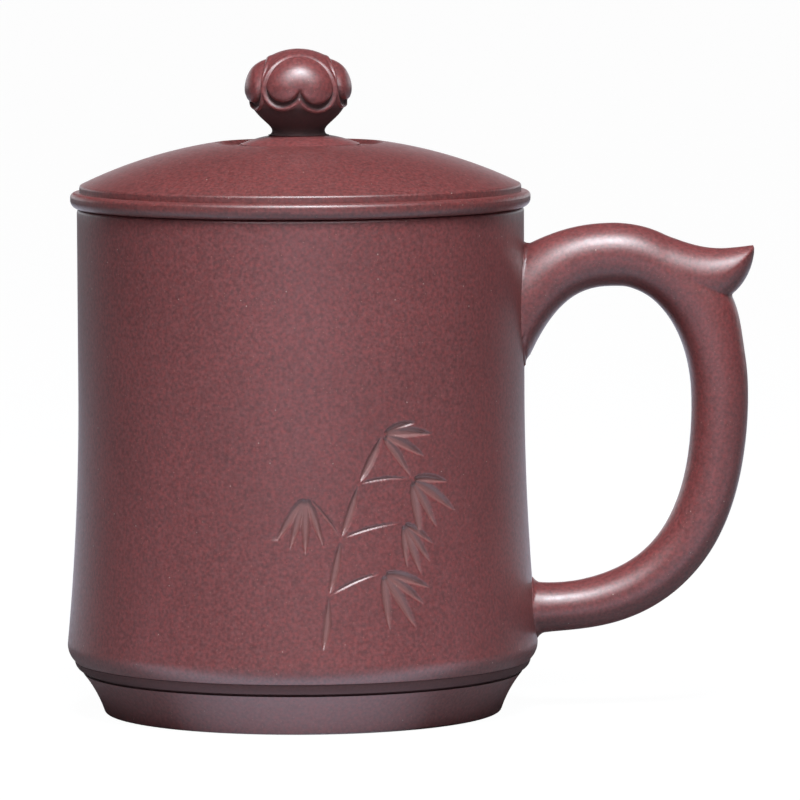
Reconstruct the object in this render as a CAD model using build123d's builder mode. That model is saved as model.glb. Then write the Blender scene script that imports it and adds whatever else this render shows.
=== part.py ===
from build123d import *
from math import cos, pi, sin, sqrt
import os

# A lidded tea cup of unglazed clay, hand-built from luted pieces, with a lid that lifts off.
# Millimetres. +Z is up, the table is Z = 0, the cup stands on its axis and the handle points along +X.

# Cup wall
RIM_RADIUS = 42.35        # outside of the straight upper wall
RIM_HEIGHT = 95.9         # table to rim
WALL = 3.8                # thickness of the clay wall
STRAIGHT_WALL = 34.3      # from the rim down to where the wall starts to spread
BELLY_SPREAD = 2.35       # how far the wall spreads below
HEEL_HEIGHT = 3.4         # height of the rounded lower edge
HEEL_INSET = 1.2          # how far the lower edge turns in
INSIDE_CORNER = 4.7       # rounding between wall and floor inside
RIM_ROUND = 0.7           # softened edges of the rim

# Foot and base
FOOT_HEIGHT = 10.0        # table to the underside of the wall
BAND_STEP = 0.1           # step from the wall's lower edge in to the band
BAND_HEIGHT = 2.0         # rounded band that turns under between wall and foot
BAND_INSET = 2.1          # how far the band turns in
BAND_GAP = 0.4            # groove between band and foot
SHOULDER = 0.5            # ledge on top of the foot, below the groove
FOOT_TAPER = 4.1          # how far the foot draws in towards the table
FOOT_HOLLOW = 0.4         # sag of the foot's hollow outline
FOOT_LEDGE = 3.0          # ledge inside the foot that carries the base
FOOT_ROUND = 0.6          # softened edges where the foot stands
SHOULDER_ROUND = 0.18     # softened upper edge of the foot
BASE_THICKNESS = 5.1
BASE_KEY = 1.0            # how far the base stands up inside the wall

# Handle, drawn on its centre line
CREST_REACH = 17.5        # wall to the highest point
CREST_DROP = 9.25         # rim down to the highest point
GRIP_REACH = 37.06        # wall to the farthest point
GRIP_DROP = 36.4          # rim down to the farthest point
UPPER_ROOT_DROP = 19.2    # rim down to the middle of the upper root
LOWER_ROOT_HEIGHT = 19.5  # table to the middle of the lower root
LOWER_ARM = 5.8           # straight end of the lower arm
CREST_PULL = 10.3         # how long the curve stays level past the crest
GRIP_PULL_UP = 16.5       # how long it stays upright above the grip
GRIP_PULL_DOWN = 24.0     # and below the grip
ARM_PULL = 22.3           # how long it stays level before the lower arm
ARM_FALL = 0.045          # slope of the lower arm
UPPER_ROOT_HEIGHT = 23.2  # oval sections, from the upper root to the lower one
UPPER_ROOT_WIDTH = 15.4
CREST_THICKNESS = 12.0
CREST_WIDTH = 13.0
GRIP_THICKNESS = 10.8
GRIP_WIDTH = 12.4
ARM_THICKNESS = 9.3
ARM_WIDTH = 11.6
LOWER_ROOT_THICKNESS = 11.7
LOWER_ROOT_WIDTH = 13.6
ROOT_DEPTH = 1.2          # handle ends drawn into the wall before they are trimmed to it
RISE_EASE = 2.6           # how late the rise from the upper root levels out
FLARE_EASE = 3            # how soon the upper root's flare is gone
ROOT_EASE = 2             # how late the lower arm starts to flare into its root
SWELL = 1.1               # extra thickness outside, where the tail grows out of the shoulder
SWELL_PLACE = 0.52        # its middle, as a share of the way from crest to grip
SWELL_SPAN = 0.3          # how far it reaches to either side, as such a share
RISE_STEPS = 8            # sections drawn along the rise, the shoulder, the grip and the arm
SHOULDER_STEPS = 8
GRIP_STEPS = 6
ARM_STEPS = 3

# Tail on the handle's shoulder
TAIL_REACH = 26.2         # crest to the tip's point
TAIL_RUN = 19.8           # crest to the lowest point of the tail's top line
TAIL_DIP = 4.72           # how far that line dips
TAIL_SINK = 0.2           # how far its start is buried in the crest
TAIL_START = 5.0          # buried start, past the crest
TAIL_WIDTH = 12.6
TAIL_EDGE = 6.3           # top line down to the side edges
TAIL_KEEL = 11.6          # top line down to the keel
TAIL_HULL = 1.9           # bulge of its sides between edge and keel
TAIL_SLIM = 0.3           # share by which the keel is shallower at the buried start
TAIL_FULLNESS = 4         # how late the tail narrows to its tip
TAIL_STEPS = 10           # sections drawn along the tail
TAIL_BLUNT = 0.1          # length cut off the tip, so that it ends blunt

# Lid
FLANGE_OVERHANG = 1.25    # lid edge outside the rim
FLANGE_THICKNESS = 3.0
FLANGE_ROUND = 0.9        # rounding of the flange's upper edge
FLANGE_FLAT = 0.5         # upright part below it; the rest of the edge turns under
SKIRT_CLEARANCE = 0.4     # play of the lid in the mouth
SKIRT_DEPTH = 8.0
SKIRT_WALL = 3.0
SKIRT_ROUND = 0.8
RISER_INSET = 1.75        # step from flange edge to dome edge
RISER_HEIGHT = 1.3
RISER_ROUND = 0.6
DOME_RISE = 8.0           # dome edge to the lip round the crown
DOME_CROWN = 1.05         # bulge of the dome between edge and lip
DOME_THICKNESS = 3.7
LIP_RADIUS = 16.0         # lip round the crown
LIP_ROUND = 0.5
GROOVE_DEPTH = 0.8        # groove between lip and knob seat
SEAT_RADIUS = 11.3
SEAT_EDGE = 0.5           # upright edge of the seat
SEAT_RISE = 2.2           # groove floor to the top of the seat
SEAT_CROWN = 0.2          # bulge of the seat

# Knob
NECK_RADIUS = 5.0
KNOB_RADIUS = 9.45        # ball without its petals
KNOB_WAIST = 8.3          # seat to the widest height
KNOB_CAP = 8.0            # widest height to the top
NECK_PULL = 2.3           # how long the neck stays upright
BALL_PULL = 4.6           # how long the ball stays upright below its widest height
QUARTER_ROUND = 0.5523    # share of the radii that makes a curve a quarter of an oval

# Four heart-shaped petals, point up, round the ball
PETALS = 4
PETAL_HALF_WIDTH = 6.45
PETAL_TOP = 6.6           # above the widest height of the ball
PETAL_FLANK = 0.3         # widest part of the petal, above that height
LOBE_CENTRE = 3.2         # lobes, from the petal's middle
LOBE_DROP = 3.0           # lowest point of the lobes, below the widest height
NOTCH_DROP = 1.3          # notch between the lobes, below the widest height
RIDGE_WIDTH = 0.7         # cord round the petal
RIDGE_RELIEF = 0.55
GROOVE_WIDTH = 0.5        # channel inside the cord
GROOVE_RELIEF = 0.15
FIELD_RELIEF = 0.65       # raised middle of the petal

mouth_radius = RIM_RADIUS - WALL
belly_radius = RIM_RADIUS + BELLY_SPREAD
belly_height = FOOT_HEIGHT + HEEL_HEIGHT
heel_radius = belly_radius - HEEL_INSET
flare_height = RIM_HEIGHT - STRAIGHT_WALL
inside_radius = belly_radius - WALL
floor_radius = inside_radius - INSIDE_CORNER
floor_height = FOOT_HEIGHT + BASE_KEY
ledge_height = floor_height - BASE_THICKNESS
band_bottom = FOOT_HEIGHT - BAND_HEIGHT
band_radius = heel_radius - BAND_STEP
band_root_radius = band_radius - BAND_INSET
shoulder_height = band_bottom - BAND_GAP
shoulder_radius = band_root_radius + SHOULDER
foot_radius = shoulder_radius - FOOT_TAPER
opening_radius = floor_radius - FOOT_LEDGE

flange_radius = RIM_RADIUS + FLANGE_OVERHANG
flange_top = RIM_HEIGHT + FLANGE_THICKNESS
skirt_radius = mouth_radius - SKIRT_CLEARANCE
skirt_bore = skirt_radius - SKIRT_WALL
flange_under = FLANGE_THICKNESS - FLANGE_ROUND - FLANGE_FLAT
riser_radius = flange_radius - RISER_INSET
dome_edge = flange_top + RISER_HEIGHT
lip_height = dome_edge + DOME_RISE
groove_height = lip_height - GROOVE_DEPTH
seat_top = groove_height + SEAT_RISE
waist_height = seat_top + KNOB_WAIST

os.makedirs("parts", exist_ok=True)


def outer_wall():
    """Outside line of the cup, from the rim down to the lower edge."""
    upright = Line((RIM_RADIUS, RIM_HEIGHT), (RIM_RADIUS, flare_height))
    spread = TangentArc(upright @ 1, (belly_radius, belly_height), tangent=upright % 1)
    return TangentArc(spread @ 1, (heel_radius, FOOT_HEIGHT), tangent=spread % 1)


def ball_outline(grow):
    """Half outline of the knob, with its ball enlarged by grow."""
    waist = (KNOB_RADIUS + grow, waist_height)
    below = (KNOB_RADIUS + grow, waist_height - BALL_PULL)
    top = waist_height + KNOB_CAP + grow
    neck = Line((0, seat_top), (NECK_RADIUS + grow, seat_top))
    Bezier(neck @ 1, (NECK_RADIUS + grow, seat_top + NECK_PULL), below, waist)
    above = (KNOB_RADIUS + grow, waist_height + (KNOB_CAP + grow) * QUARTER_ROUND)
    Bezier(waist, above, ((KNOB_RADIUS + grow) * QUARTER_ROUND, top), (0, top))
    Line((0, top), neck @ 0)


with BuildPart() as body_wall:
    with BuildSketch(Plane.XZ) as profile:
        with BuildLine():
            heel = outer_wall()
            seat = Line(heel @ 1, (floor_radius, FOOT_HEIGHT))
            key = Line(seat @ 1, (floor_radius, floor_height))
            corner = TangentArc(key @ 1, (inside_radius, floor_height + INSIDE_CORNER), tangent=(1, 0))
            inside = TangentArc((mouth_radius, flare_height), corner @ 1, tangent=(0, -1))
            mouth = Line(inside @ 0, (mouth_radius, RIM_HEIGHT))
            Line(mouth @ 1, (RIM_RADIUS, RIM_HEIGHT))
        make_face()
        fillet(profile.vertices().group_by(Axis.Y)[-1], RIM_ROUND)
    revolve(axis=Axis.Z)
body_wall.part.label = "body_wall"
export_step(body_wall.part, "parts/body_wall.step")

with BuildPart() as base_disc:
    with BuildSketch(Plane.XY.offset(ledge_height)):
        Circle(floor_radius)
    extrude(amount=BASE_THICKNESS)
base_disc.part.label = "base_disc"
export_step(base_disc.part, "parts/base_disc.step")

with BuildPart() as foot_ring:
    with BuildSketch(Plane.XZ) as profile:
        with BuildLine():
            tread = Line((opening_radius, 0), (foot_radius, 0))
            cove = SagittaArc(tread @ 1, (shoulder_radius, shoulder_height), FOOT_HOLLOW)
            ledge = Line(cove @ 1, (band_root_radius, shoulder_height))
            groove = Line(ledge @ 1, (band_root_radius, band_bottom))
            band = TangentArc(groove @ 1, (band_radius, FOOT_HEIGHT), tangent=(1, 0))
            top = Line(band @ 1, (floor_radius, FOOT_HEIGHT))
            bore = Line(top @ 1, (floor_radius, ledge_height))
            shelf = Line(bore @ 1, (opening_radius, ledge_height))
            Line(shelf @ 1, tread @ 0)
        make_face()
        fillet(profile.vertices().group_by(Axis.Y)[0], FOOT_ROUND)
        foot_top = profile.vertices().filter_by_position(Axis.Y, shoulder_height, shoulder_height)
        fillet(foot_top.sort_by(Axis.X)[-1], SHOULDER_ROUND)
    revolve(axis=Axis.Z)
foot_ring.part.label = "foot_ring"
export_step(foot_ring.part, "parts/foot_ring.step")

# The cup without its hollow and down to the table, to which the handle's ends are trimmed
with BuildPart() as cup_envelope:
    with BuildSketch(Plane.XZ):
        with BuildLine():
            heel = outer_wall()
            skirting = Line(heel @ 1, (heel_radius, 0))
            Polyline(skirting @ 1, (0, 0), (0, RIM_HEIGHT), (RIM_RADIUS, RIM_HEIGHT))
        make_face()
    revolve(axis=Axis.Z)

crest_x = RIM_RADIUS + CREST_REACH
crest_z = RIM_HEIGHT - CREST_DROP
grip_x = RIM_RADIUS + GRIP_REACH
grip_z = RIM_HEIGHT - GRIP_DROP
root_x = RIM_RADIUS - ROOT_DEPTH
root_z = RIM_HEIGHT - UPPER_ROOT_DROP
arm_x = RIM_RADIUS + LOWER_ARM


def blend(start, end, share):
    """Section thickness and width between two named sections."""
    return tuple(a + (b - a) * share for a, b in zip(start, end))


def handle_section(point, direction, size):
    """Oval section of the handle, with its thickness in the handle's plane."""
    outward = Vector(-direction.Z, 0, direction.X)
    with BuildSketch(Plane(origin=point, x_dir=outward, z_dir=direction)) as section:
        Ellipse(size[0] / 2, size[1] / 2)
    return section.sketch


def rise_sections(count):
    """Upright ovals that rise from the flared upper root to the crest."""
    for step in range(count):
        x = root_x + (crest_x - root_x) * step / count
        left = (crest_x - x) / CREST_REACH
        z = crest_z - (crest_z - root_z) * left ** RISE_EASE
        size = blend(crest_size, upper_root_size, left ** FLARE_EASE)
        yield handle_section(Vector(x, 0, z), Vector(1, 0, 0), size)


def curve_sections(curve, start, end, count, ease=1):
    """Ovals square to a curve, that change from the start size to the end size."""
    for step in range(count):
        share = step / count
        yield handle_section(curve @ share, curve % share, blend(start, end, share ** ease))


def shoulder_sections(count):
    """Ovals from the crest to the grip, swollen on the outside below the tail."""
    for step in range(count):
        share = step / count
        off_middle = min(abs(share - SWELL_PLACE) / SWELL_SPAN, 1)
        swell = SWELL * cos(off_middle * pi / 2) ** 2
        along = shoulder_line % share
        middle = shoulder_line @ share + Vector(-along.Z, 0, along.X) * swell / 2
        thickness, width = blend(crest_size, grip_size, share)
        yield handle_section(middle, along, (thickness + swell, width))


upper_root_size = (UPPER_ROOT_HEIGHT, UPPER_ROOT_WIDTH)
crest_size = (CREST_THICKNESS, CREST_WIDTH)
grip_size = (GRIP_THICKNESS, GRIP_WIDTH)
arm_size = (ARM_THICKNESS, ARM_WIDTH)
lower_root_size = (LOWER_ROOT_THICKNESS, LOWER_ROOT_WIDTH)

with BuildLine(Plane.XZ):
    crest = (crest_x, crest_z)
    grip = (grip_x, grip_z)
    low = (arm_x, LOWER_ROOT_HEIGHT)
    low_pull = (arm_x + ARM_PULL, LOWER_ROOT_HEIGHT + ARM_PULL * ARM_FALL)
    shoulder_line = Bezier(crest, (crest_x + CREST_PULL, crest_z), (grip_x, grip_z + GRIP_PULL_UP), grip)
    grip_line = Bezier(grip, (grip_x, grip_z - GRIP_PULL_DOWN), low_pull, low)
    arm_line = Line(low, (root_x, LOWER_ROOT_HEIGHT - (arm_x - root_x) * ARM_FALL))

with BuildPart() as handle_loop:
    loft([
        *rise_sections(RISE_STEPS),
        *shoulder_sections(SHOULDER_STEPS),
        *curve_sections(grip_line, grip_size, arm_size, GRIP_STEPS),
        *curve_sections(arm_line, arm_size, lower_root_size, ARM_STEPS, ROOT_EASE),
        handle_section(arm_line @ 1, arm_line % 1, lower_root_size),
    ])
    add(cup_envelope.part, mode=Mode.SUBTRACT)
handle_loop.part.label = "handle_loop"
export_step(handle_loop.part, "parts/handle_loop.step")


def tail_section(share):
    """Keeled section of the tail, hung from its wavy top line and shrinking towards the tip."""
    along = TAIL_START + (TAIL_REACH - TAIL_START) * share
    left = 1 - share ** TAIL_FULLNESS
    start = crest_z + CREST_THICKNESS / 2 - TAIL_SINK
    top = start - TAIL_DIP * (1 - cos(pi * along / TAIL_RUN)) / 2
    bulge = TAIL_HULL * sqrt(left)
    edge = (TAIL_WIDTH / 2 * sqrt(left), top - TAIL_EDGE * left)
    far_edge = (-edge[0], edge[1])
    keel = (0, top - TAIL_KEEL * sqrt(left) * (1 - TAIL_SLIM * (1 - share) ** 2))
    with BuildSketch(Plane.YZ.offset(crest_x + along)) as section:
        with BuildLine():
            ThreePointArc(far_edge, (0, top), edge)
            SagittaArc(edge, keel, bulge)
            SagittaArc(keel, far_edge, bulge)
        make_face()
    return section.sketch


with BuildPart() as thumb_tail:
    end = 1 - TAIL_BLUNT / TAIL_REACH
    loft([tail_section(sin(step / TAIL_STEPS * pi / 2) * end) for step in range(TAIL_STEPS + 1)])
    add(handle_loop.part, mode=Mode.SUBTRACT)
thumb_tail.part.label = "thumb_tail"
export_step(thumb_tail.part, "parts/thumb_tail.step")

with BuildPart() as lid_dome:
    with BuildSketch(Plane.XZ) as profile:
        with BuildLine():
            under = groove_height - DOME_THICKNESS
            edge = Line((skirt_bore, flange_top), (riser_radius, flange_top))
            riser = Line(edge @ 1, (riser_radius, dome_edge))
            slope = SagittaArc(riser @ 1, (LIP_RADIUS, lip_height), -DOME_CROWN)
            lip = Line(slope @ 1, (LIP_RADIUS - GROOVE_DEPTH, groove_height))
            floor = Line(lip @ 1, (0, groove_height))
            axis = Line(floor @ 1, (0, under))
            TangentArc(axis @ 1, edge @ 0, tangent=(1, 0))
        make_face()
        fillet(profile.vertices().group_by(Axis.Y)[-1], LIP_ROUND)
        fillet(profile.vertices().filter_by_position(Axis.Y, dome_edge, dome_edge), RISER_ROUND)
    revolve(axis=Axis.Z)
lid_dome.part.label = "lid_dome"
export_step(lid_dome.part, "parts/lid_dome.step")

with BuildPart() as lid_flange:
    with BuildSketch(Plane.XZ) as profile:
        with Locations(((skirt_bore + flange_radius) / 2, RIM_HEIGHT + FLANGE_THICKNESS / 2)):
            Rectangle(flange_radius - skirt_bore, FLANGE_THICKNESS)
        fillet(profile.vertices().group_by(Axis.X)[-1].sort_by(Axis.Y)[0], flange_under)
        fillet(profile.vertices().group_by(Axis.X)[-1].sort_by(Axis.Y)[-1], FLANGE_ROUND)
    revolve(axis=Axis.Z)
lid_flange.part.label = "lid_flange"
export_step(lid_flange.part, "parts/lid_flange.step")

with BuildPart() as lid_skirt:
    with BuildSketch(Plane.XY.offset(RIM_HEIGHT - SKIRT_DEPTH)):
        Circle(skirt_radius)
        Circle(skirt_bore, mode=Mode.SUBTRACT)
    extrude(amount=SKIRT_DEPTH)
    fillet(lid_skirt.edges().group_by(Axis.Z)[0], SKIRT_ROUND)
lid_skirt.part.label = "lid_skirt"
export_step(lid_skirt.part, "parts/lid_skirt.step")

with BuildPart() as knob_seat:
    with BuildSketch(Plane.XZ):
        with BuildLine():
            under = Line((0, groove_height), (SEAT_RADIUS, groove_height))
            edge = Line(under @ 1, (SEAT_RADIUS, groove_height + SEAT_EDGE))
            slope = SagittaArc(edge @ 1, (NECK_RADIUS, seat_top), -SEAT_CROWN)
            Polyline(slope @ 1, (0, seat_top), (0, groove_height))
        make_face()
    revolve(axis=Axis.Z)
knob_seat.part.label = "knob_seat"
export_step(knob_seat.part, "parts/knob_seat.step")

with BuildPart() as knob:
    with BuildSketch(Plane.XZ):
        with BuildLine():
            ball_outline(0)
        make_face()
    revolve(axis=Axis.Z)
knob.part.label = "knob"
export_step(knob.part, "parts/knob.step")


def petal_layer(inset, relief):
    """The petal's outline drawn in by inset and raised by relief over the ball."""
    flank = (PETAL_HALF_WIDTH, waist_height + PETAL_FLANK)
    with BuildPart() as layer:
        with BuildSketch(Plane.XZ):
            with BuildLine():
                arch = TangentArc((0, waist_height + PETAL_TOP), flank, tangent=(1, 0))
                lobe = (LOBE_CENTRE, waist_height - LOBE_DROP)
                ThreePointArc(arch @ 1, lobe, (0, waist_height - NOTCH_DROP))
                mirror(about=Plane.YZ)
            make_face()
            offset(amount=-inset)
        extrude(amount=2 * KNOB_RADIUS)
        with BuildSketch(Plane.XZ):
            with BuildLine():
                ball_outline(relief)
            make_face()
        revolve(axis=Axis.Z, mode=Mode.INTERSECT)
        add(knob.part, mode=Mode.SUBTRACT)
    return layer.part


with BuildPart() as petal:
    add(petal_layer(0, RIDGE_RELIEF))
    add(petal_layer(RIDGE_WIDTH, RIDGE_RELIEF), mode=Mode.SUBTRACT)
    add(petal_layer(RIDGE_WIDTH, GROOVE_RELIEF))
    add(petal_layer(RIDGE_WIDTH + GROOVE_WIDTH, FIELD_RELIEF))

with BuildPart() as knob_petals:
    with PolarLocations(0, PETALS):
        add(petal.part)
knob_petals.part.label = "knob_petals"
export_step(knob_petals.part, "parts/knob_petals.step")
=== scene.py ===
from math import cos, pi, radians, sin
from typing import NamedTuple

import bmesh
import bpy
import numpy as np
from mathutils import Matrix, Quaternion, Vector


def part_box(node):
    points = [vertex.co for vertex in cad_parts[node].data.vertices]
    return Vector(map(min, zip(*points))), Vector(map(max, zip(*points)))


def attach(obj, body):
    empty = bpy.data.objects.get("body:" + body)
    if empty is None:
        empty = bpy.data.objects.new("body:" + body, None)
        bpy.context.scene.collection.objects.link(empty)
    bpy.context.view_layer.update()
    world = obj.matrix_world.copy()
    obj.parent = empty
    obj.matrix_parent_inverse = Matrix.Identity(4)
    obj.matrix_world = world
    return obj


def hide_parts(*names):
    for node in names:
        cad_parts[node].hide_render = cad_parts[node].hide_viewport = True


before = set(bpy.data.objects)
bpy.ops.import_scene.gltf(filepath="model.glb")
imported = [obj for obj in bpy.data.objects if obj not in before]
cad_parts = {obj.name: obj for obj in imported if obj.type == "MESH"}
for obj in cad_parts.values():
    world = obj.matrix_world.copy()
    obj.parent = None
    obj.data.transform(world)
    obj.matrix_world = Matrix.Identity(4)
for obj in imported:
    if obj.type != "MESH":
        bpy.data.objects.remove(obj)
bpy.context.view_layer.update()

# The clay tea cup in metres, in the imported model's frame: +Z up, handle along +X, viewer at -Y.
MM = 0.001

# Cup wall, as in the solid
RIM_RADIUS = 42.35 * MM
WALL = 3.8 * MM
STRAIGHT_WALL = 34.3 * MM
BELLY_SPREAD = 2.35 * MM
HEEL_HEIGHT = 3.4 * MM
HEEL_INSET = 1.2 * MM
HEEL_EDGE = 0.25 * MM         # softened lower edge of the wall
BASE_RADIUS = 36.2 * MM       # of the opening at the bottom, which the base closes
BASE_EDGE = 1.0 * MM          # height of that opening's edge
RIM_ROUND = 0.7 * MM
CORNER_ROWS = 10              # rows of the mesh round the heel and round the inner corner
RIM_ROWS = 5                  # rows of the mesh round each edge of the rim
PLAIN_COLUMNS = 150           # columns of the mesh round the part that isn't carved

# Carved bamboo on the side that faces the viewer
SPRIG_TURN = radians(19)      # middle of the carving, from -Y towards the handle
SPRIG_HEIGHT = 39.0 * MM
SPRIG_WIDTH = 38.0 * MM
SPRIG_TALL = 50.0 * MM
CARVING_STEP = 0.18 * MM      # mesh spacing where the wall is carved
CARVING_DEPTH = 0.55 * MM
FULL_STROKE = 0.6 * MM        # half width from which a stroke is cut to the full depth
STROKE_MARGIN = 2.0 * MM      # how far round a stroke its cut is worked out
STROKE_POINTS = 48
# The drawing, in millimetres from the middle of the carving
STEM = ((-10.5, -23.0), (-9.2, -12.5), (-6.8, -2.0), (-3.2, 8.0), (1.8, 17.0))
TWIGS = ((1, (1.5, -8.5)), (2, (-13.5, 6.0)), (3, (8.0, 8.5)), (2, (6.0, 0.5)))   # joint, end
SPRAYS = (((1.5, -8.5), -48, 11.5), ((-13.5, 6.0), -98, 10.5), ((8.0, 8.5), -38, 11.5),
          ((1.8, 17.0), -12, 11.0), ((6.0, 0.5), -55, 9.5))                       # base, heading, length
SPRAY_LEAVES = 4
SPRAY_FAN = 24                # degrees between the leaves of a spray
LEAF_DROOP = 1.4

# Knob, as in the solid, with the petals modelled in full
NECK_RADIUS = 5.0 * MM
NECK_FLARE = 0.8 * MM
KNOB_RADIUS = 9.45 * MM
KNOB_CAP = 8.0 * MM
NECK_PULL = 2.3 * MM
BALL_PULL = 4.6 * MM
KNOB_STEP = 0.1 * MM          # mesh spacing round the knob
FLARE_ROWS, BALL_ROWS, CAP_ROWS = 8, 100, 132
AXIS_GAP = 0.01 * MM          # radius at which the knob's mesh ends at its axis
KNOB_ASIDE = -0.3 * MM        # the knob is luted on a little off the lid's middle
PETAL_TURN = radians(2.7)     # how far the lid stands turned
PETAL_TILT = radians(4)       # the petals lean a little
PETAL_REACH = radians(60)     # half the width of the strip in which a petal is worked out
PETAL_POINTS = 220            # points of a petal's outline, above and below
# A petal's outline: arch radius, place of its lobes, their drop below the waist, height of its notch
BEAD_LINE = (6.75 * MM, 3.3 * MM, 3.1 * MM, -1.45 * MM)
FACE_LINE = (6.35 * MM, 3.2 * MM, 2.0 * MM, 0.35 * MM)
FULL_FACE_LINE = (6.35 * MM, 3.2 * MM, 2.0 * MM, -1.2 * MM)
BEAD_RELIEF = 0.38 * MM
ARCH_BEAD = 0.3               # part of the bead's relief that is left at the top of the arch
CUSP_BEAD = 0.25              # part of it that is left at the notch
CUSP_FADE = 1.4 * MM          # width over which the bead sinks towards its notch
CHANNEL_DEPTH = 0.28 * MM
ARCH_CHANNEL = 0.25           # part of the channel's depth that is left at the arch
LOBE_EDGE = 0.6 * MM          # rounding of the raised face, steep at the lobes and soft at the arch
ARCH_EDGE = 2.4 * MM
FACE_RELIEF = 0.34 * MM
FACE_SWELL = 0.3 * MM
SWELL_REACH = 3.5 * MM
LOBE_ZONE = 4.0 * MM          # height over which a petal flattens towards its arch
FOLD_WIDTH = 0.2 * MM
FOLD_HEIGHT = 1.8 * MM
FOLD_RELIEF = 0.08 * MM
NECK_SHADE = 1.6 * MM         # painted shade: below the petals the knob is painted darker, where the ball shades its neck
SHADE_EDGE = 0.1 * MM         # relief at which that shade ends

# Handle
REMESH_STEP = 0.25 * MM
ROOT_TOUCH = 0.03 * MM        # points this close to the wall are the handle's ends
ROOT_SINK = 0.9 * MM          # how far the handle's ends are pressed into the wall
ROOT_FILLET = 1.5 * MM        # fillet above and below the handle's ends
FILLET_SPREAD = 0.6           # how far the fillet spreads, against its length
CREST_BLEND = 8.0 * MM        # length over which the tail is worked into the handle's crest
SKIN_ROUNDS, CREST_ROUNDS = 3, 60
TIP_LENGTH = 5.3 * MM         # end of the tail that droops
TIP_DROOP = 0.5 * MM

rim_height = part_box("body_wall")[1].z
foot_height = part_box("body_wall")[0].z
base_height = foot_height + BASE_EDGE
flare_height = rim_height - STRAIGHT_WALL
belly_height = foot_height + HEEL_HEIGHT
belly_radius = RIM_RADIUS + BELLY_SPREAD
belly_drop = flare_height - belly_height
belly_sweep = (BELLY_SPREAD ** 2 + belly_drop ** 2) / (2 * BELLY_SPREAD)
seat_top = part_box("knob")[0].z
tail_start, tail_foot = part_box("thumb_tail")[0].x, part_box("thumb_tail")[0].z
waist_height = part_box("knob")[1].z - KNOB_CAP


def arc(start, heading, end, count):
    """Points of the arc that leaves start along heading and ends at end, start left out."""
    start, heading, end = np.array(start), np.array(heading), np.array(end)
    chord = end - start
    side = np.array((-heading[1], heading[0])) / np.hypot(*heading)
    radius = chord @ chord / (2 * (chord @ side))
    centre = start + side * radius
    first = np.arctan2(*(start - centre)[::-1])
    turn = 2 * np.arctan2(chord @ side, chord @ heading / np.hypot(*heading))
    angles = first + turn * np.arange(1, count + 1) / count
    return [tuple(centre + abs(radius) * np.array((cos(a), sin(a)))) for a in angles]


def bezier(points, count):
    """Points of a cubic curve, its start left out."""
    a, b, c, d = (np.array(p) for p in points)
    shares = [step / count for step in range(1, count + 1)]
    return [tuple((1 - t) ** 3 * a + 3 * (1 - t) ** 2 * t * b + 3 * (1 - t) * t * t * c + t ** 3 * d)
            for t in shares]


def mesh_piece(name, points, faces):
    """A smooth-shaded object from points and faces."""
    mesh = bpy.data.meshes.new(name)
    mesh.from_pydata(points.tolist(), [], faces)
    mesh.shade_smooth()
    mesh.update()
    piece = bpy.data.objects.new(name, mesh)
    bpy.context.scene.collection.objects.link(piece)
    return piece


def grid_faces(rows, columns, closed):
    """Quads of a grid whose columns close round the axis, and its rows too where closed is true."""
    last = rows if closed else rows - 1
    return [(r * columns + c, r * columns + (c + 1) % columns,
             (r + 1) % rows * columns + (c + 1) % columns, (r + 1) % rows * columns + c)
            for r in range(last) for c in range(columns)]


def turned(outline, angles):
    """Grid of points from a half outline of (radius, height) turned to each angle, and its normals."""
    radius, height = np.array(outline).T
    along = np.gradient(np.array(outline), axis=0)
    normal = np.stack((along[:, 1], -along[:, 0]), 1)
    normal /= np.linalg.norm(normal, axis=1)[:, None]
    ring = np.stack((np.cos(angles), np.sin(angles)), 1)

    def spread(r, z):
        flat = r[:, None, None] * ring[None]
        return np.concatenate((flat, np.broadcast_to(z[:, None, None], flat.shape[:2] + (1,))), 2)

    return spread(radius, height), spread(normal[:, 0], normal[:, 1])


def note(piece, name, values):
    """A number at each point of a piece, for its material."""
    attribute = piece.data.attributes.new(name, "FLOAT", "POINT")
    attribute.data.foreach_set("value", values.astype(np.float32).ravel())


# Carved cup wall


def wall_radius(height):
    """Outside radius of the wall: upright above, spreading in a wide arc below."""
    drop = np.maximum(flare_height - height, 0)
    return RIM_RADIUS + belly_sweep - np.sqrt(belly_sweep ** 2 - drop ** 2)


def stroke(start, bend, end, width, point=0.62):
    """A carved stroke: its curve, and half its width on the way. The point sets where it is widest."""
    t = np.linspace(0, 1, STROKE_POINTS)[:, None]
    line = (1 - t) ** 2 * np.array(start) + 2 * (1 - t) * t * np.array(bend) + t ** 2 * np.array(end)
    return line * MM, width / 2 * MM * np.sin(pi * t[:, 0] ** point) ** 0.8


def leaf(base, heading, length):
    """A bamboo leaf that leaves its stem along a heading in degrees and droops towards its tip."""
    reach = np.array((cos(radians(heading)), sin(radians(heading)))) * length
    start = np.array(base) + reach * 0.08
    tip = np.array(base) + reach + np.array((0, -LEAF_DROOP))
    return stroke(start, np.array(base) + reach * 0.6, tip, 0.2 * length)


def bamboo():
    """Strokes of a sprig of bamboo: a jointed stem, twigs and sprays of hanging leaves."""
    strokes = []
    for low, high in zip(STEM, STEM[1:]):
        low, high = np.array(low), np.array(high)
        middle = (low + high) / 2 + (0.4, 0)
        strokes.append(stroke(low + (high - low) * 0.04, middle, low + (high - low) * 0.98, 1.7, 0.9))
    for joint, end in TWIGS:
        middle = (np.array(STEM[joint]) + end) / 2 + (0, 1.4)
        strokes.append(stroke(STEM[joint], middle, end, 0.7, 0.8))
    for number, (base, heading, length) in enumerate(SPRAYS):
        for step in range(SPRAY_LEAVES):
            fan = heading + (step - 1.5) * SPRAY_FAN + 6 * sin(number * 2.1 + step)
            size = length * (1 - 0.12 * abs(step - 1.4)) * (1 + 0.1 * sin(step * 2.7 + number))
            strokes.append(leaf(base, fan, size))
    return strokes


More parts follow.
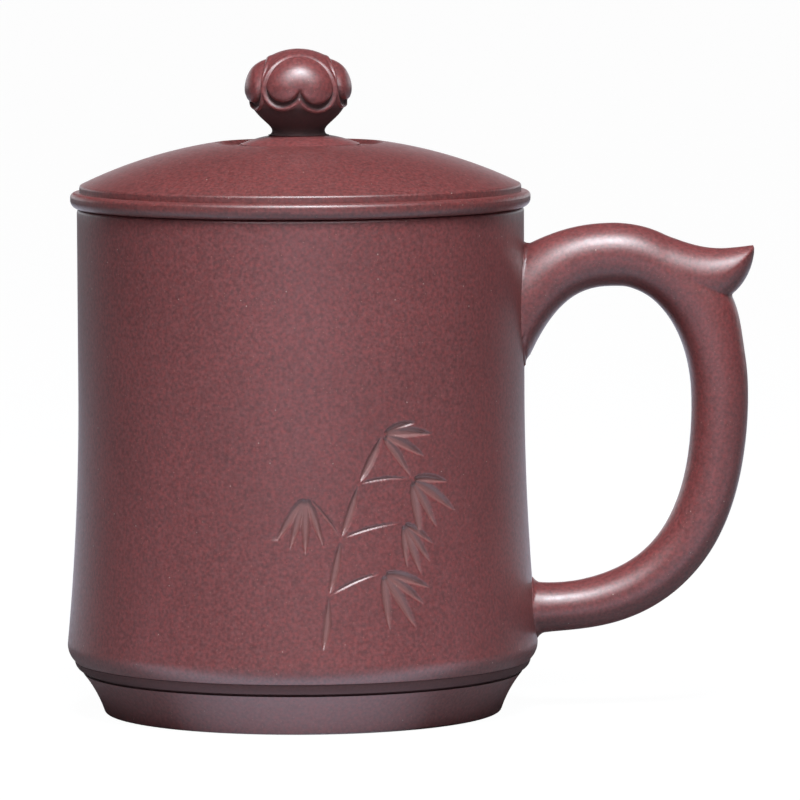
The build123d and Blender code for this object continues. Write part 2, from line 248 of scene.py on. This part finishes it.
def carving_depth(across, up):
    """How deep each point of the wall is cut, the deepest where a stroke is widest."""
    depth = np.zeros(across.shape)
    flat = np.stack((across.ravel(), up.ravel()), 1)
    for line, half_width in bamboo():
        first, last = line.min(0) - STROKE_MARGIN, line.max(0) + STROKE_MARGIN
        near = np.nonzero(np.all((flat > first) & (flat < last), 1))[0]
        gap = np.linalg.norm(flat[near][:, None] - line[None], axis=2)
        share = 1 - gap / np.maximum(half_width, 1e-6)
        cut = np.clip(share * 1.6, 0, 1) * np.minimum(half_width / FULL_STROKE, 1)
        depth.ravel()[near] = np.maximum(depth.ravel()[near], cut.max(1))
    return depth


def outside_heights():
    """Heights of the mesh's rows down the wall's outside, closest together where it is carved."""
    low, high = SPRIG_HEIGHT - SPRIG_TALL / 2, SPRIG_HEIGHT + SPRIG_TALL / 2
    return np.concatenate((
        np.linspace(rim_height - RIM_ROUND, high, 14)[:-1],
        np.arange(high, low, -CARVING_STEP),
        np.linspace(low, belly_height, 8)))


def wall_outline(heights):
    """The wall's half outline: down its outside, under its heel, up its inside and over the rim."""
    outline = [(wall_radius(z), z) for z in heights]
    heel = belly_radius - HEEL_INSET
    lean = belly_drop / np.sqrt(belly_sweep ** 2 - belly_drop ** 2)
    outline += arc(outline[-1], (lean, -1), (heel + HEEL_EDGE / 2, foot_height + HEEL_EDGE), CORNER_ROWS)
    outline += [(heel, foot_height + HEEL_EDGE / 4), (heel - HEEL_EDGE, foot_height)]
    outline += [(BASE_RADIUS, foot_height), (BASE_RADIUS, base_height)]
    inside = belly_radius - WALL
    corner = inside - BASE_RADIUS
    outline += arc(outline[-1], (1, 0), (inside, base_height + corner), CORNER_ROWS)
    outline += [(wall_radius(z) - WALL, z) for z in np.linspace(belly_height + corner, flare_height, 12)]
    mouth = RIM_RADIUS - WALL
    outline += [(mouth, z) for z in np.linspace(flare_height, rim_height - RIM_ROUND, 8)[1:]]
    outline += arc(outline[-1], (0, 1), (mouth + RIM_ROUND, rim_height), RIM_ROWS)
    outline += [(RIM_RADIUS - RIM_ROUND, rim_height)]
    return outline + arc(outline[-1], (1, 0), (RIM_RADIUS, rim_height - RIM_ROUND), RIM_ROWS)[:-1]


def carved_wall():
    """The cup's wall as one turned shell, carved on the viewer's side."""
    heights = outside_heights()
    outline = wall_outline(heights)
    middle = SPRIG_TURN - pi / 2
    half = SPRIG_WIDTH / 2 / belly_radius
    fine = np.arange(middle - half, middle + half, CARVING_STEP / belly_radius)
    angles = np.concatenate((fine, np.linspace(fine[-1], fine[0] + 2 * pi, PLAIN_COLUMNS)[1:-1]))
    points, _ = turned(outline, angles)
    rows = len(heights)
    across = (angles - middle)[None] * belly_radius + np.zeros((rows, 1))
    up = (heights - SPRIG_HEIGHT)[:, None] + np.zeros((1, len(angles)))
    depth = np.zeros(points.shape[:2])
    depth[:rows] = carving_depth(across, up)
    outward = np.stack((np.cos(angles), np.sin(angles), np.zeros(len(angles))), 1)
    points -= outward[None] * (depth * CARVING_DEPTH)[..., None]
    piece = mesh_piece("cup_wall", points.reshape(-1, 3), grid_faces(len(outline), len(angles), True))
    note(piece, "cut", depth)
    return piece


# Petalled knob


class Petal(NamedTuple):
    """One kind of petal: its size and relief against the values above, and where it stands."""
    wide: float
    tall: float
    stand: float        # relief
    bead: float         # half the width of the bead along its edge
    face: tuple         # outline of the raised face
    places: tuple       # which of the four places it takes, the first at the front


PETALS = (Petal(1.01, 1.05, 1.0, 0.5 * MM, FACE_LINE, (0, 2)),
          Petal(0.95, 0.96, 1.2, 0.42 * MM, FULL_FACE_LINE, (1, 3)))


def heart(x, arch, lobe_place, drop, notch):
    """Lower and upper edge of a heart-shaped petal, at x from its middle line."""
    x = np.abs(x)
    climb = drop + notch
    inner = (lobe_place ** 2 + climb ** 2) / (2 * climb)
    lobe = np.where(x > lobe_place, arch - lobe_place, inner)
    low = lobe - drop - np.sqrt(np.maximum(lobe ** 2 - (x - lobe_place) ** 2, 0))
    high = np.sqrt(np.maximum(arch ** 2 - x ** 2, 0))
    return low, high


def heart_gap(x, z, line):
    """Distance from each point to a petal's outline, positive inside it."""
    across = line[0] * np.sin(np.linspace(-pi / 2, pi / 2, PETAL_POINTS))
    low, high = heart(across, *line)
    closed = low < high
    edge = np.concatenate([np.stack((across, side), 1)[closed] for side in (low, high)])
    gap = np.empty(x.shape)
    for row in range(len(x)):
        spots = np.stack((x[row], z[row]), 1)
        gap[row] = np.linalg.norm(spots[:, None] - edge[None], axis=2).min(1)
    low, high = heart(x, *line)
    return np.where((low < z) & (z < high), gap, -gap)


def petal_relief(x, z, petal):
    """Height of a petal over the ball: a bead, a channel inside it and a raised, rounded face."""
    edge = heart_gap(x, z, BEAD_LINE)
    face = heart_gap(x, z, petal.face)
    low = np.clip(1 - z / LOBE_ZONE, 0, 1)
    flank = 1 - np.clip(z / BEAD_LINE[0], 0, 1) ** 2
    cusp = np.where(z < 0, np.clip(np.abs(x) / CUSP_FADE, CUSP_BEAD, 1), 1)
    raised = BEAD_RELIEF * (ARCH_BEAD + (1 - ARCH_BEAD) * flank) * cusp
    bead = raised * np.clip(1 - (edge / petal.bead) ** 2, 0, 1) ** 2
    depth = CHANNEL_DEPTH * (ARCH_CHANNEL + (1 - ARCH_CHANNEL) * low)
    channel = -depth * np.clip(edge / petal.bead, 0, 1)
    rounding = np.clip(face / (ARCH_EDGE + (LOBE_EDGE - ARCH_EDGE) * low), 0, 1)
    rise = (FACE_RELIEF + depth) * (1 - (1 - rounding) ** 2)
    swell = FACE_SWELL * np.sin(pi / 2 * np.clip(face / SWELL_REACH, 0, 1))
    inside = np.clip(edge / petal.bead, 0, 1) * np.clip((FOLD_HEIGHT - z) / FOLD_HEIGHT, 0, 1)
    fold = FOLD_RELIEF * inside * np.exp(-(x / FOLD_WIDTH) ** 2)
    return (channel + bead + rise + swell + fold) * petal.stand


def softened(heights):
    """Takes the hard corners off a grid of heights whose columns close round the axis."""
    across = (np.roll(heights, 1, 1) + 2 * heights + np.roll(heights, -1, 1)) / 4
    inner = (across[:-2] + 2 * across[1:-1] + across[2:]) / 4
    return np.concatenate((across[:1], inner, across[-1:]))


def knob_outline():
    """The knob's half outline without its petals: the flared neck, the ball and its cap."""
    outline = [(AXIS_GAP, seat_top), (NECK_RADIUS + NECK_FLARE, seat_top)]
    outline += arc(outline[-1], (-1, 0), (NECK_RADIUS, seat_top + NECK_FLARE), FLARE_ROWS)
    outline += bezier((outline[-1], (NECK_RADIUS, seat_top + NECK_PULL),
                       (KNOB_RADIUS, waist_height - BALL_PULL), (KNOB_RADIUS, waist_height)), BALL_ROWS)
    climb = np.linspace(0, pi / 2, CAP_ROWS)[1:-1]
    outline += [(KNOB_RADIUS * cos(a), waist_height + KNOB_CAP * sin(a)) for a in climb]
    return outline + [(AXIS_GAP, waist_height + KNOB_CAP)]


def petals_relief(radius, z, turn):
    """Height of the four petals over the knob. Where two raised edges meet, the higher one counts."""
    count = len(turn)
    relief = np.zeros(z.shape)
    lean, upright = sin(PETAL_TILT), cos(PETAL_TILT)
    aside = (turn + pi) % (2 * pi) - pi
    strip = np.nonzero(np.abs(aside) < PETAL_REACH)[0]
    for petal in PETALS:
        across = radius[:, None] * np.sin(aside[strip])[None] / petal.wide
        up = z[:, strip] / petal.tall
        raised = petal_relief(across * upright - up * lean, across * lean + up * upright, petal)
        for place in petal.places:
            spot = (strip + place * count // 4) % count
            both = np.minimum(relief[:, spot], raised) > 0
            higher = np.maximum(relief[:, spot], raised)
            relief[:, spot] = np.where(both, higher, relief[:, spot] + raised)
    return relief


def petalled_knob():
    """The knob as one turned form, with four heart-shaped petals raised on it."""
    outline = knob_outline()
    count = int(2 * pi * KNOB_RADIUS / KNOB_STEP / 4) * 4
    turn = np.arange(count) / count * 2 * pi
    radius, height = np.array(outline).T
    z = (height - waist_height)[:, None] + np.zeros((1, count))
    relief = petals_relief(radius, z, turn)
    # Painted shade: the neck below the petals and the petals' channels are marked to be painted darker,
    # where the knob shades itself.
    shade = np.clip(-z / NECK_SHADE - 1, 0, 1) * np.clip(1 - relief / SHADE_EDGE, 0, 1)
    painted_shade = softened(np.maximum(np.clip(-relief / CHANNEL_DEPTH, 0, 1), shade))
    points, normals = turned(outline, turn + PETAL_TURN - pi / 2)
    points += normals * softened(relief)[..., None] + np.array((KNOB_ASIDE, 0, 0))
    piece = mesh_piece("knob_ball", points.reshape(-1, 3), grid_faces(len(outline), count, False))
    note(piece, "painted_shade", painted_shade)
    return piece


# Handle with its tail


def pressed_in(verts):
    """Presses the handle's ends into the wall, so that no seam gapes there."""
    for vert in verts:
        radius = vert.co.xy.length
        if abs(radius - wall_radius(vert.co.z)) < ROOT_TOUCH:
            vert.co.xy *= 1 - ROOT_SINK / radius


def points_of(mesh, kind="co"):
    """A mesh's points, or their normals, as an array."""
    values = np.empty(len(mesh.vertices) * 3, np.float32)
    mesh.vertices.foreach_get(kind, values)
    return values.reshape(-1, 3)


def filleted_roots(points, normals):
    """Spreads the handle where its top and bottom meet the wall."""
    fillet = np.maximum(ROOT_FILLET * normals[:, 2] ** 2, 1e-6)
    gap = np.hypot(points[:, 0], points[:, 1]) - wall_radius(points[:, 2])
    near = np.clip(1 - np.maximum(gap, 0) / fillet, 0, 1)
    return points + normals * (fillet * FILLET_SPREAD * near ** 2)[:, None]


def drooped_tip(points):
    """Lets the tail's tip droop a little."""
    share = np.clip(1 - (points[:, 0].max() - points[:, 0]) / TIP_LENGTH, 0, 1)
    return points - np.outer(np.where(points[:, 2] > tail_foot, share ** 2, 0), (0, 0, TIP_DROOP))


def smoothed(piece, name, rounds, group=""):
    """Adds a smoothing pass, over a group of points where one is named."""
    smooth = piece.modifiers.new(name, "SMOOTH")
    smooth.factor = 0.5
    smooth.iterations = rounds
    smooth.vertex_group = group


def applied(piece):
    """Makes what a piece's modifiers give its own mesh."""
    bpy.context.view_layer.update()
    seen = piece.evaluated_get(bpy.context.evaluated_depsgraph_get())
    mesh = bpy.data.meshes.new_from_object(seen)
    piece.modifiers.clear()
    piece.data = mesh


def crest_group(piece):
    """Points of the crest near the start of the tail, fading out both ways."""
    points, normals = points_of(piece.data), points_of(piece.data, "normal")
    along = 1 - np.abs(points[:, 0] - tail_start - CREST_BLEND / 4) / CREST_BLEND
    weight = np.clip(along * 2, 0, 1) * np.clip(normals[:, 2] * 2, 0, 1) * (points[:, 2] > tail_foot)
    group = piece.vertex_groups.new(name="crest")
    for number in np.nonzero(weight)[0]:
        group.add([int(number)], float(weight[number]), "REPLACE")
    return group.name


def modelled_handle():
    """The handle and its tail worked into one smooth piece."""
    joined = bmesh.new()
    for node in ("handle_loop", "thumb_tail"):
        joined.from_mesh(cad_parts[node].data)
    bmesh.ops.remove_doubles(joined, verts=joined.verts, dist=1e-6)
    pressed_in(joined.verts)
    mesh = bpy.data.meshes.new("handle")
    joined.to_mesh(mesh)
    joined.free()
    piece = bpy.data.objects.new("handle", mesh)
    bpy.context.scene.collection.objects.link(piece)
    remesh = piece.modifiers.new("one_skin", "REMESH")
    remesh.mode = "VOXEL"
    remesh.voxel_size = REMESH_STEP
    smoothed(piece, "worked_smooth", SKIN_ROUNDS)
    applied(piece)
    smoothed(piece, "worked_crest", CREST_ROUNDS, crest_group(piece))
    applied(piece)
    piece.vertex_groups.clear()
    worked = filleted_roots(points_of(piece.data), points_of(piece.data, "normal"))
    piece.data.vertices.foreach_set("co", drooped_tip(worked).astype(np.float32).ravel())
    piece.data.shade_smooth()
    piece.data.update()
    return piece


# Clay

CUP_COLOUR = (0.22, 0.053, 0.052)
# The lid is painted darker than the cup: painted shade that evens out the stronger light on its top.
LID_SHADED_COLOUR = (0.19, 0.045, 0.043)
PALE_CLAY = (0.36, 0.15, 0.12)
BRIGHT_CLAY = (0.55, 0.42, 0.36)
FRESH_CUT = (0.28, 0.13, 0.12)
MOTTLE_SHADES = (0.94, 1.06)  # against the clay's colour
GRAIN_SHADES = (0.68, 1.3)
COOL_TINT, WARM_TINT = (0.91, 1.1, 1.12), (1.08, 0.91, 0.9)
NOISE_SPAN = (0.3, 0.7)       # where most of a noise texture's values lie
MOTTLE, GRAIN, TINT = (55, 4), (1600, 2), (1450, 2)             # scale per metre and detail
SATIN, PORES = (900, 4), (2600, 3)
PALE_DOTS, BRIGHT_DOTS = (1700, 0.2, 0.13), (950, 0.13, 0.05)   # scale, size and share of the cells
DARK_DOTS = (1300, 0.16, 0.08)
DARK_SHADE = 0.4
SATIN_ROUGHNESS = (0.38, 0.45)
CLAY_IOR = 1.65
CLAY_SPECULAR = 0.85
PORE_STRENGTH = 0.4
PORE_DEPTH = 0.02 * MM
CUT_SHARE = 0.7               # how much of the cut's colour shows
# Painted shade on the knob's neck and in its petals' channels: its tone, share and roughness.
PAINTED_SHADE_TONE, PAINTED_SHADE_SHARE, PAINTED_SHADE_ROUGHNESS = 0.12, 0.85, 0.9
FOOT_SHADE_BAND = (7.5 * MM, 10.4 * MM)   # painted shade: the band between wall and foot, where the wall's heel shades it, is painted dark and dull
SHADE_BAND_FADE = 0.25 * MM
SHADE_BAND_TONE, SHADE_BAND_SHARE, SHADE_BAND_ROUGHNESS = 0.2, 0.75, 0.85


def feed(tree, socket, value):
    """Gives a socket a number, a colour or the value of another node."""
    if isinstance(value, tuple):
        socket.default_value = (*value, 1)
    elif isinstance(value, (int, float)):
        socket.default_value = value
    else:
        tree.links.new(value, socket)


def math_node(tree, operation, first, second):
    """The result of an operation on two shader values, either of them a number."""
    node = tree.nodes.new("ShaderNodeMath")
    node.operation = operation
    for socket, value in zip(node.inputs, (first, second)):
        feed(tree, socket, value)
    return node.outputs[0]


def ranged(tree, value, low, high, out_low, out_high):
    """A shader value carried from one range to another."""
    node = tree.nodes.new("ShaderNodeMapRange")
    for socket, number in zip(("From Min", "From Max", "To Min", "To Max"), (low, high, out_low, out_high)):
        node.inputs[socket].default_value = number
    tree.links.new(value, node.inputs["Value"])
    return node.outputs["Result"]


def mixed(tree, share, first, second, blend="MIX"):
    """The first colour, with the second blended in by a share."""
    node = tree.nodes.new("ShaderNodeMix")
    node.data_type = "RGBA"
    node.blend_type = blend
    colours = [socket for socket in node.inputs if socket.type == "RGBA"]
    for socket, value in zip((node.inputs["Factor"], *colours), (share, first, second)):
        feed(tree, socket, value)
    return next(socket for socket in node.outputs if socket.type == "RGBA")


def noise(tree, place, scale, detail):
    """A noise texture's value at a place."""
    node = tree.nodes.new("ShaderNodeTexNoise")
    node.inputs["Scale"].default_value = scale
    node.inputs["Detail"].default_value = detail
    tree.links.new(place, node.inputs["Vector"])
    return node.outputs["Fac"]


def wandering(tree, place, texture, first, second):
    """A colour that wanders between two by a noise texture."""
    share = ranged(tree, noise(tree, place, *texture), *NOISE_SPAN, 0, 1)
    return mixed(tree, share, first, second)


def dots(tree, place, scale, size, share):
    """Small dots in a share of the cells of a cell texture, 1 in a dot and 0 around it."""
    cells = tree.nodes.new("ShaderNodeTexVoronoi")
    cells.inputs["Scale"].default_value = scale
    tree.links.new(place, cells.inputs["Vector"])
    near = ranged(tree, cells.outputs["Distance"], size, size * 0.6, 0, 1)
    pick = tree.nodes.new("ShaderNodeSeparateColor")
    tree.links.new(cells.outputs["Color"], pick.inputs["Color"])
    chosen = ranged(tree, pick.outputs["Red"], 1 - share, 1 - share + 0.02, 0, 1)
    return math_node(tree, "MULTIPLY", near, chosen)


def marked(tree, name):
    """The number that a piece's points carry under a name."""
    mark = tree.nodes.new("ShaderNodeAttribute")
    mark.attribute_name = name
    return mark.outputs["Fac"]


def shaded(colour, share):
    """A colour made darker or lighter by a share."""
    return tuple(c * share for c in colour)


def grained(tree, place, colour):
    """The clay's colour with mottling, grain, tints and specks."""
    mottle = wandering(tree, place, MOTTLE, *(shaded(colour, share) for share in MOTTLE_SHADES))
    grain = wandering(tree, place, GRAIN, *((share,) * 3 for share in GRAIN_SHADES))
    tint = wandering(tree, place, TINT, COOL_TINT, WARM_TINT)
    body = mixed(tree, 1.0, mixed(tree, 1.0, mottle, grain, "MULTIPLY"), tint, "MULTIPLY")
    pale = mixed(tree, dots(tree, place, *PALE_DOTS), body, PALE_CLAY)
    bright = mixed(tree, dots(tree, place, *BRIGHT_DOTS), pale, BRIGHT_CLAY)
    return mixed(tree, dots(tree, place, *DARK_DOTS), bright, shaded(colour, DARK_SHADE))


def between_heights(tree, place, low, high):
    """1 between two heights and 0 outside them, with a short fade."""
    height = tree.nodes.new("ShaderNodeSeparateXYZ")
    tree.links.new(place, height.inputs[0])
    above = ranged(tree, height.outputs["Z"], low, low + SHADE_BAND_FADE, 0, 1)
    below = ranged(tree, height.outputs["Z"], high - SHADE_BAND_FADE, high, 1, 0)
    return math_node(tree, "MULTIPLY", above, below)


def clay(name, colour, cut=None, painted_shade=None, shade_band=None):
    """Unglazed fine-grained clay with a satin skin; paler in cuts, and with painted shade, dark and dull,
    where points are marked for it or in a band of heights.
    """
    material = bpy.data.materials.new(name)
    material.use_nodes = True
    tree = material.node_tree
    shader = tree.nodes["Principled BSDF"]
    place = tree.nodes.new("ShaderNodeTexCoord").outputs["Object"]
    surface = grained(tree, place, colour)
    skin = ranged(tree, noise(tree, place, *SATIN), *NOISE_SPAN, *SATIN_ROUGHNESS)
    if cut:
        surface = mixed(tree, ranged(tree, marked(tree, cut), 0.02, 0.6, 0, CUT_SHARE), surface, FRESH_CUT)
    # Painted shade: darker and duller clay where the points carry the mark.
    if painted_shade:
        share = ranged(tree, marked(tree, painted_shade), 0, 1, 0, PAINTED_SHADE_SHARE)
        surface = mixed(tree, share, surface, shaded(colour, PAINTED_SHADE_TONE))
        dull = ranged(tree, marked(tree, painted_shade), 0, 1, 0, PAINTED_SHADE_ROUGHNESS)
        skin = math_node(tree, "MAXIMUM", skin, dull)
    # Painted shade: darker and duller clay in a band of heights.
    if shade_band:
        inside = between_heights(tree, place, *shade_band)
        share = ranged(tree, inside, 0, 1, 0, SHADE_BAND_SHARE)
        surface = mixed(tree, share, surface, shaded(colour, SHADE_BAND_TONE))
        skin = math_node(tree, "MAXIMUM", skin, ranged(tree, inside, 0, 1, 0, SHADE_BAND_ROUGHNESS))
    tree.links.new(surface, shader.inputs["Base Color"])
    tree.links.new(skin, shader.inputs["Roughness"])
    shader.inputs["IOR"].default_value = CLAY_IOR
    shader.inputs["Specular IOR Level"].default_value = CLAY_SPECULAR
    bump = tree.nodes.new("ShaderNodeBump")
    bump.inputs["Strength"].default_value = PORE_STRENGTH
    bump.inputs["Distance"].default_value = PORE_DEPTH
    tree.links.new(noise(tree, place, *PORES), bump.inputs["Height"])
    tree.links.new(bump.outputs["Normal"], shader.inputs["Normal"])
    return material


cup_clay = clay("cup_clay_skin", CUP_COLOUR, "cut")
foot_clay = clay("foot_clay_skin", CUP_COLOUR, shade_band=FOOT_SHADE_BAND)
handle_clay = clay("handle_clay_skin", CUP_COLOUR)
lid_clay = clay("lid_clay_skin", LID_SHADED_COLOUR)
knob_clay = clay("knob_clay_skin", CUP_COLOUR, painted_shade="painted_shade")

for body, piece, skin, slot, nodes in (
        ("cup", carved_wall(), cup_clay, "cup_clay", ["body_wall"]),
        ("cup", modelled_handle(), handle_clay, "handle_clay", ["handle_loop", "thumb_tail"]),
        ("lid", petalled_knob(), knob_clay, "knob_clay", ["knob", "knob_petals"])):
    piece.data.materials.clear()
    piece.data.materials.append(skin)
    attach(piece, body)
    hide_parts(*nodes)

for node, skin in (("base_disc", cup_clay), ("foot_ring", foot_clay), ("lid_dome", lid_clay),
                   ("lid_flange", lid_clay), ("lid_skirt", lid_clay), ("knob_seat", knob_clay)):
    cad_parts[node].material_slots[0].material = skin

# Floor, light and camera, in metres

CAMERA_ELEVATION = radians(4.85)
CAMERA_DISTANCE = 1.385
CAMERA_LENS = 328.2
CAMERA_ROLL = radians(-0.25)
LOOK_AT = Vector((18.7, 0, 59.1)) * MM
FLOOR_SIZE = 14.0
FLOOR_COLOUR = (0.24, 0.245, 0.26)
FLOOR_WHITE, FLOOR_SEEN = 1.22, 0.8   # glow that the camera sees, and its share; the rest is lit and shaded
# The bright floor that the clay's satin skin reflects. Each pair says where a fade starts and ends.
SHEEN_COLOUR, SHEEN_STRENGTH = (0.8, 0.84, 1.0), 1.75
SHEEN_LANE = (0.10, 0.40)             # to either side of the cup
FOOT_STRIP_START, FOOT_STRIP_END, FOOT_STRIP_REST = (-0.030, -0.045), (-0.048, -0.06), 0.2
FRONT_START, FRONT_SHARE = (-0.25, -0.5), 0.45
BACK_START = (0.10, 0.20)
ROOM_COLOUR = (0.012, 0.013, 0.016)
# The bright backdrop that it reflects, by the heading of the reflected ray
BACKDROP_COLOUR, BACKDROP_STRENGTH = (0.92, 0.95, 1), 1.6
BACKDROP_START, BACKDROP_TOP = (0.5, 0.8), (0.15, 0.35)
DAYLIGHT = (0.9, 0.95, 1.0)


def glow(tree, colour, strength):
    """A shader that gives light of its own."""
    node = tree.nodes.new("ShaderNodeEmission")
    node.inputs["Color"].default_value = (*colour, 1)
    node.inputs["Strength"].default_value = strength
    return node.outputs[0]


def background(tree, colour, strength):
    """A world shader of one colour."""
    node = tree.nodes.new("ShaderNodeBackground")
    node.inputs["Color"].default_value = (*colour, 1)
    node.inputs["Strength"].default_value = strength
    return node.outputs[0]


def mixed_shader(tree, share, first, second):
    """The first shader, or the second by a share."""
    mix = tree.nodes.new("ShaderNodeMixShader")
    tree.links.new(share, mix.inputs["Fac"])
    tree.links.new(first, mix.inputs[1])
    tree.links.new(second, mix.inputs[2])
    return mix.outputs[0]


def directions(tree, kind):
    """X, Y and Z of a texture coordinate."""
    parts = tree.nodes.new("ShaderNodeSeparateXYZ")
    tree.links.new(tree.nodes.new("ShaderNodeTexCoord").outputs[kind], parts.inputs[0])
    return parts.outputs


def floor_sheen(tree):
    """Where the floor is bright in reflections: a strip before the foot, the front and the back."""
    place = directions(tree, "Object")
    lane = ranged(tree, math_node(tree, "ABSOLUTE", place["X"], 0), *SHEEN_LANE, 1, 0)
    foot = math_node(tree, "MULTIPLY", ranged(tree, place["Y"], *FOOT_STRIP_START, 0, 1),
                     ranged(tree, place["Y"], *FOOT_STRIP_END, 1, FOOT_STRIP_REST))
    front = ranged(tree, place["Y"], *FRONT_START, 0, FRONT_SHARE)
    back = ranged(tree, place["Y"], *BACK_START, 0, 1)
    bright = math_node(tree, "ADD", math_node(tree, "ADD", foot, front), back)
    return math_node(tree, "MULTIPLY", lane, bright)


def white_floor():
    """A pale floor that the camera sees as white with a soft shadow."""
    half = FLOOR_SIZE / 2
    points = np.array([(-half, -half, 0), (half, -half, 0), (half, half, 0), (-half, half, 0)])
    floor = mesh_piece("floor", points, [(0, 1, 2, 3)])
    material = bpy.data.materials.new("floor_white")
    material.use_nodes = True
    tree = material.node_tree
    shader = tree.nodes["Principled BSDF"]
    shader.inputs["Base Color"].default_value = (*FLOOR_COLOUR, 1)
    shader.inputs["Roughness"].default_value = 0.9
    path = tree.nodes.new("ShaderNodeLightPath")
    seen = math_node(tree, "MULTIPLY", path.outputs["Is Camera Ray"], FLOOR_SEEN)
    sheen = math_node(tree, "MULTIPLY", path.outputs["Is Glossy Ray"], floor_sheen(tree))
    surface = mixed_shader(tree, seen, shader.outputs[0], glow(tree, (1, 1, 1), FLOOR_WHITE))
    surface = mixed_shader(tree, sheen, surface, glow(tree, SHEEN_COLOUR, SHEEN_STRENGTH))
    tree.links.new(surface, tree.nodes["Material Output"].inputs["Surface"])
    floor.data.materials.append(material)


def studio():
    """A dim room with a white backdrop, which the camera and reflections see."""
    world = bpy.data.worlds.new("studio")
    world.use_nodes = True
    tree = world.node_tree
    room = tree.nodes["Background"]
    room.inputs["Color"].default_value = (*ROOM_COLOUR, 1)
    path = tree.nodes.new("ShaderNodeLightPath")
    heading = directions(tree, "Generated")
    behind = ranged(tree, heading["Y"], *BACKDROP_START, 0, 1)
    low = ranged(tree, heading["Z"], *BACKDROP_TOP, 1, 0)
    bright = math_node(tree, "MULTIPLY", behind, low)
    sheen = math_node(tree, "MULTIPLY", path.outputs["Is Glossy Ray"], bright)
    backdrop = background(tree, BACKDROP_COLOUR, BACKDROP_STRENGTH)
    surface = mixed_shader(tree, sheen, room.outputs[0], backdrop)
    white = background(tree, (1, 1, 1), 1)
    surface = mixed_shader(tree, path.outputs["Is Camera Ray"], surface, white)
    tree.links.new(surface, tree.nodes["World Output"].inputs["Surface"])
    bpy.context.scene.world = world


def softbox(name, azimuth, elevation, distance, size, watts):
    """An area light that faces the cup, from an azimuth and an elevation in degrees."""
    light = bpy.data.lights.new(name, "AREA")
    light.shape = "RECTANGLE"
    light.size, light.size_y = size
    light.energy = watts
    light.color = DAYLIGHT
    lamp = bpy.data.objects.new(name, light)
    bpy.context.scene.collection.objects.link(lamp)
    flat = cos(radians(elevation))
    toward = Vector((sin(radians(azimuth)) * flat, -cos(radians(azimuth)) * flat, sin(radians(elevation))))
    lamp.location = LOOK_AT + toward * distance
    lamp.rotation_euler = (-toward).to_track_quat("-Z", "Y").to_euler()


def shot():
    """The camera, which looks down a little at the cup's middle from a distance."""
    camera = bpy.data.objects.new("camera", bpy.data.cameras.new("camera"))
    bpy.context.scene.collection.objects.link(camera)
    camera.data.lens = CAMERA_LENS
    camera.data.sensor_width = 36
    away = Vector((0, -cos(CAMERA_ELEVATION), sin(CAMERA_ELEVATION)))
    camera.location = LOOK_AT + away * CAMERA_DISTANCE
    facing = (-away).to_track_quat("-Z", "Y") @ Quaternion((0, 0, 1), CAMERA_ROLL)
    camera.rotation_euler = facing.to_euler()
    bpy.context.scene.camera = camera
    bpy.context.scene.view_settings.view_transform = "Standard"


white_floor()
studio()
softbox("key", azimuth=4, elevation=62, distance=1.0, size=(0.35, 0.3), watts=9.0)
softbox("fill", azimuth=0, elevation=50, distance=1.0, size=(1.1, 0.6), watts=7.2)
shot()
